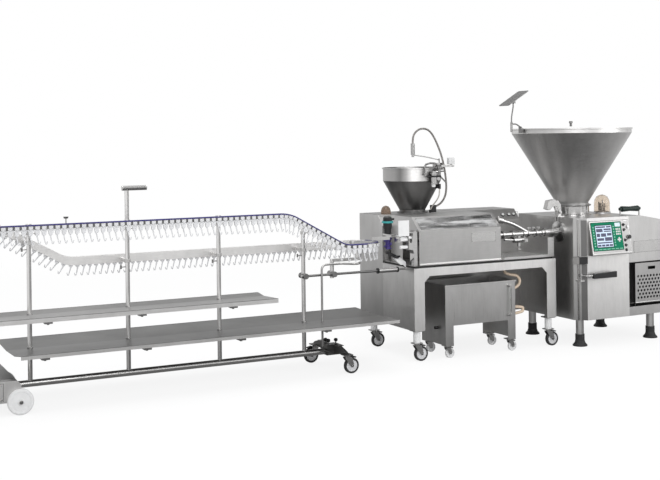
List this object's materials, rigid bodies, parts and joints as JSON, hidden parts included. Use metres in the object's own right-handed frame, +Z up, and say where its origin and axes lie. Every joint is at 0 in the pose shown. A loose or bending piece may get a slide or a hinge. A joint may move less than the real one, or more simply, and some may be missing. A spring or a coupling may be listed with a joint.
{
  "type": "sausage filler",
  "caption": "Sausage filling line: vacuum filler with large conical hopper, co-extruding and linking table with its own hopper, wheeled tub, and hanging-hook conveyor with trays.",
  "frame": {"origin": "on the floor under the middle of the line's bounding box", "axes": "+X along the line from the hook conveyor to the filler, -Y towards the operator, +Z up"},
  "size_m": [6.24, 1.3099, 2.2767],
  "materials": {
    "steel": "satin brushed",
    "dark_steel": "brushed, in shade",
    "polished": "polished",
    "rail": "satin",
    "strip": "smooth",
    "carrier": "smooth",
    "white": "smooth",
    "tyre": "matt",
    "rubber": "matt",
    "black": "moulded",
    "clear": "clear",
    "amber": "clear, tinted",
    "green": "printed front",
    "handle": "moulded",
    "purple": "soft",
    "hose": "smooth",
    "cable": "ribbed",
    "red": "moulded"
  },
  "bodies": {
    "line": {"guide_rails": "rail", "wear_strip": "strip", "hook_chain": "carrier", "conveyor_frame": "steel", "trays": "steel", "cross_member": "dark_steel", "drive_box": "steel", "table_frame": "steel", "cabinet": "steel", "splash_tray": "polished", "small_hopper": "steel", "sensor_hose": "cable", "coextrusion_head": "polished", "infeed_pipe": "polished", "linker_head": "polished", "placing_arm": "black", "tub": "steel", "tub_hoses": "hose", "filler_housing": "steel", "filler_console": "steel", "screen_panel": "green", "rubber_feet": "rubber", "hopper": "steel", "vacuum_dome": "amber", "grab_handle": "handle"},
    "table_front_left_swivel": {"table_front_left_fork": "steel"},
    "table_front_left_roller": {"table_front_left_wheel": "tyre"},
    "table_rear_left_swivel": {"table_rear_left_fork": "steel"},
    "table_rear_left_roller": {"table_rear_left_wheel": "tyre"},
    "table_front_right_swivel": {"table_front_right_fork": "steel"},
    "table_front_right_roller": {"table_front_right_wheel": "tyre"},
    "table_rear_right_swivel": {"table_rear_right_fork": "steel"},
    "table_rear_right_roller": {"table_rear_right_wheel": "tyre"},
    "conveyor_front_swivel": {"conveyor_front_fork": "steel"},
    "conveyor_front_roller": {"conveyor_front_wheel": "tyre"},
    "conveyor_rear_swivel": {"conveyor_rear_fork": "steel"},
    "conveyor_rear_roller": {"conveyor_rear_wheel": "tyre"},
    "tub_front_left_roller": {"tub_front_left_wheel": "white"},
    "tub_rear_left_roller": {"tub_rear_left_wheel": "white"},
    "tub_front_right_roller": {"tub_front_right_wheel": "white"},
    "tub_rear_right_roller": {"tub_rear_right_wheel": "white"},
    "front_big_roller": {"front_big_wheel": "white"},
    "rear_big_roller": {"rear_big_wheel": "white"},
    "left_turn": {"left_turn_wheel": "white"},
    "right_turn": {"right_turn_wheel": "white"},
    "hood_cover": {"hood": "steel", "hood_window": "clear"},
    "knee_lever": {"start_lever": "polished", "lever_grip": "black"},
    "fold_step": {"step": "steel"},
    "valve_lever": {"clamp_lever": "steel"},
    "auger": {"feed_auger": "polished"},
    "spiral": {"placing_spiral": "purple"},
    "mirror": {"hopper_mirror": "polished"},
    "stop_cap": {"stop_button": "red"},
    "start_cap": {"start_button": "white"},
    "selector": {"selector_knob": "black"},
    "console_cap_1": {"console_button_1": "white"},
    "console_cap_2": {"console_button_2": "white"},
    "console_cap_3": {"console_button_3": "white"}
  },
  "joints": [
    {"name": "table_front_left_swivel_joint", "type": "hinge", "parent": "line", "child": "table_front_left_swivel", "pos_m": [0.495, -0.3, 0.14], "axis": [0, 0, 1], "continuous": true},
    {"name": "table_front_left_axle", "type": "hinge", "parent": "table_front_left_swivel", "child": "table_front_left_roller", "pos_m": [0.533, -0.3, 0.0625], "axis": [0, 1, 0], "continuous": true},
    {"name": "table_rear_left_swivel_joint", "type": "hinge", "parent": "line", "child": "table_rear_left_swivel", "pos_m": [0.495, 0.44, 0.14], "axis": [0, 0, 1], "continuous": true},
    {"name": "table_rear_left_axle", "type": "hinge", "parent": "table_rear_left_swivel", "child": "table_rear_left_roller", "pos_m": [0.533, 0.44, 0.0625], "axis": [0, 1, 0], "continuous": true},
    {"name": "table_front_right_swivel_joint", "type": "hinge", "parent": "line", "child": "table_front_right_swivel", "pos_m": [1.855, -0.3, 0.14], "axis": [0, 0, 1], "continuous": true},
    {"name": "table_front_right_axle", "type": "hinge", "parent": "table_front_right_swivel", "child": "table_front_right_roller", "pos_m": [1.893, -0.3, 0.0625], "axis": [0, 1, 0], "continuous": true},
    {"name": "table_rear_right_swivel_joint", "type": "hinge", "parent": "line", "child": "table_rear_right_swivel", "pos_m": [1.855, 0.44, 0.14], "axis": [0, 0, 1], "continuous": true},
    {"name": "table_rear_right_axle", "type": "hinge", "parent": "table_rear_right_swivel", "child": "table_rear_right_roller", "pos_m": [1.893, 0.44, 0.0625], "axis": [0, 1, 0], "continuous": true},
    {"name": "conveyor_front_swivel_joint", "type": "hinge", "parent": "line", "child": "conveyor_front_swivel", "pos_m": [-0.235, -0.438, 0.14], "axis": [0, 0, 1], "continuous": true},
    {"name": "conveyor_front_axle", "type": "hinge", "parent": "conveyor_front_swivel", "child": "conveyor_front_roller", "pos_m": [-0.197, -0.438, 0.0625], "axis": [0, 1, 0], "continuous": true},
    {"name": "conveyor_rear_swivel_joint", "type": "hinge", "parent": "line", "child": "conveyor_rear_swivel", "pos_m": [-0.257, 0.098, 0.14], "axis": [0, 0, 1], "continuous": true},
    {"name": "conveyor_rear_axle", "type": "hinge", "parent": "conveyor_rear_swivel", "child": "conveyor_rear_roller", "pos_m": [-0.295, 0.098, 0.0625], "axis": [0, 1, 0], "continuous": true},
    {"name": "tub_front_left_axle", "type": "hinge", "parent": "line", "child": "tub_front_left_roller", "pos_m": [0.809, -0.315, 0.0425], "axis": [0, 1, 0], "continuous": true},
    {"name": "tub_rear_left_axle", "type": "hinge", "parent": "line", "child": "tub_rear_left_roller", "pos_m": [0.809, -0.01, 0.0425], "axis": [0, 1, 0], "continuous": true},
    {"name": "tub_front_right_axle", "type": "hinge", "parent": "line", "child": "tub_front_right_roller", "pos_m": [1.452, -0.315, 0.0425], "axis": [0, 1, 0], "continuous": true},
    {"name": "tub_rear_right_axle", "type": "hinge", "parent": "line", "child": "tub_rear_right_roller", "pos_m": [1.452, -0.01, 0.0425], "axis": [0, 1, 0], "continuous": true},
    {"name": "front_big_axle", "type": "hinge", "parent": "line", "child": "front_big_roller", "pos_m": [-2.79, -0.495, 0.09], "axis": [0, 1, 0], "continuous": true},
    {"name": "rear_big_axle", "type": "hinge", "parent": "line", "child": "rear_big_roller", "pos_m": [-2.79, 0.155, 0.09], "axis": [0, 1, 0], "continuous": true},
    {"name": "left_turn_spin", "type": "hinge", "parent": "line", "child": "left_turn", "pos_m": [-2.935, -0.17, 1.2], "axis": [0, 0, 1], "continuous": true},
    {"name": "right_turn_spin", "type": "hinge", "parent": "line", "child": "right_turn", "pos_m": [0.015, -0.17, 0.92], "axis": [0, 0, 1], "continuous": true},
    {"name": "hood_hinge", "type": "hinge", "parent": "line", "child": "hood_cover", "pos_m": [0.9, 0.161, 1.19], "axis": [-1, 0, 0], "range_deg": [0, 65]},
    {"name": "start_lever_hinge", "type": "hinge", "parent": "line", "child": "knee_lever", "pos_m": [2.036, -0.537, 0.636], "axis": [0, 0, 1], "range_deg": [-28, 0], "stiffness_Nm_per_rad": 6, "springref_deg": 2.86},
    {"name": "step_hinge", "type": "hinge", "parent": "line", "child": "fold_step", "pos_m": [2.85, -0.537, 0.35], "axis": [1, 0, 0], "range_deg": [0, 88]},
    {"name": "clamp_lever_hinge", "type": "hinge", "parent": "line", "child": "valve_lever", "pos_m": [2.024, -0.255, 1.178], "axis": [0, 1, 0], "range_deg": [0, 14]},
    {"name": "auger_spin", "type": "hinge", "parent": "line", "child": "auger", "pos_m": [2.295, -0.105, 1.2], "axis": [0, 0, 1], "continuous": true},
    {"name": "spiral_spin", "type": "hinge", "parent": "line", "child": "spiral", "pos_m": [0.3, -0.172, 1], "axis": [0, 0, 1], "continuous": true},
    {"name": "mirror_tilt", "type": "hinge", "parent": "line", "child": "mirror", "pos_m": [1.648, -0.105, 2.192], "axis": [0, 1, 0], "range_deg": [-25, 25]},
    {"name": "stop_button_push", "type": "slide", "parent": "line", "child": "stop_cap", "axis": [0, 0.982, -0.189], "range_m": [0, 0.004], "stiffness_N_per_m": 800, "springref_m": -0.001},
    {"name": "start_button_push", "type": "slide", "parent": "line", "child": "start_cap", "axis": [0, 0.982, -0.189], "range_m": [0, 0.004], "stiffness_N_per_m": 800, "springref_m": -0.001},
    {"name": "selector_turn", "type": "hinge", "parent": "line", "child": "selector", "pos_m": [2.49, -0.571, 1.066], "axis": [0, -0.982, 0.189], "range_deg": [-45, 45]},
    {"name": "console_button_1_push", "type": "slide", "parent": "line", "child": "console_cap_1", "axis": [0, 0.7474, -0.6644], "range_m": [0, 0.004], "stiffness_N_per_m": 800, "springref_m": -0.001},
    {"name": "console_button_2_push", "type": "slide", "parent": "line", "child": "console_cap_2", "axis": [0, 0.7474, -0.6644], "range_m": [0, 0.004], "stiffness_N_per_m": 800, "springref_m": -0.001},
    {"name": "console_button_3_push", "type": "slide", "parent": "line", "child": "console_cap_3", "axis": [0, 0.7474, -0.6644], "range_m": [0, 0.004], "stiffness_N_per_m": 800, "springref_m": -0.001}
  ],
  "couplings": [
    {"joint": "left_turn_spin", "follows": "right_turn_spin", "ratio": 1}
  ]
}
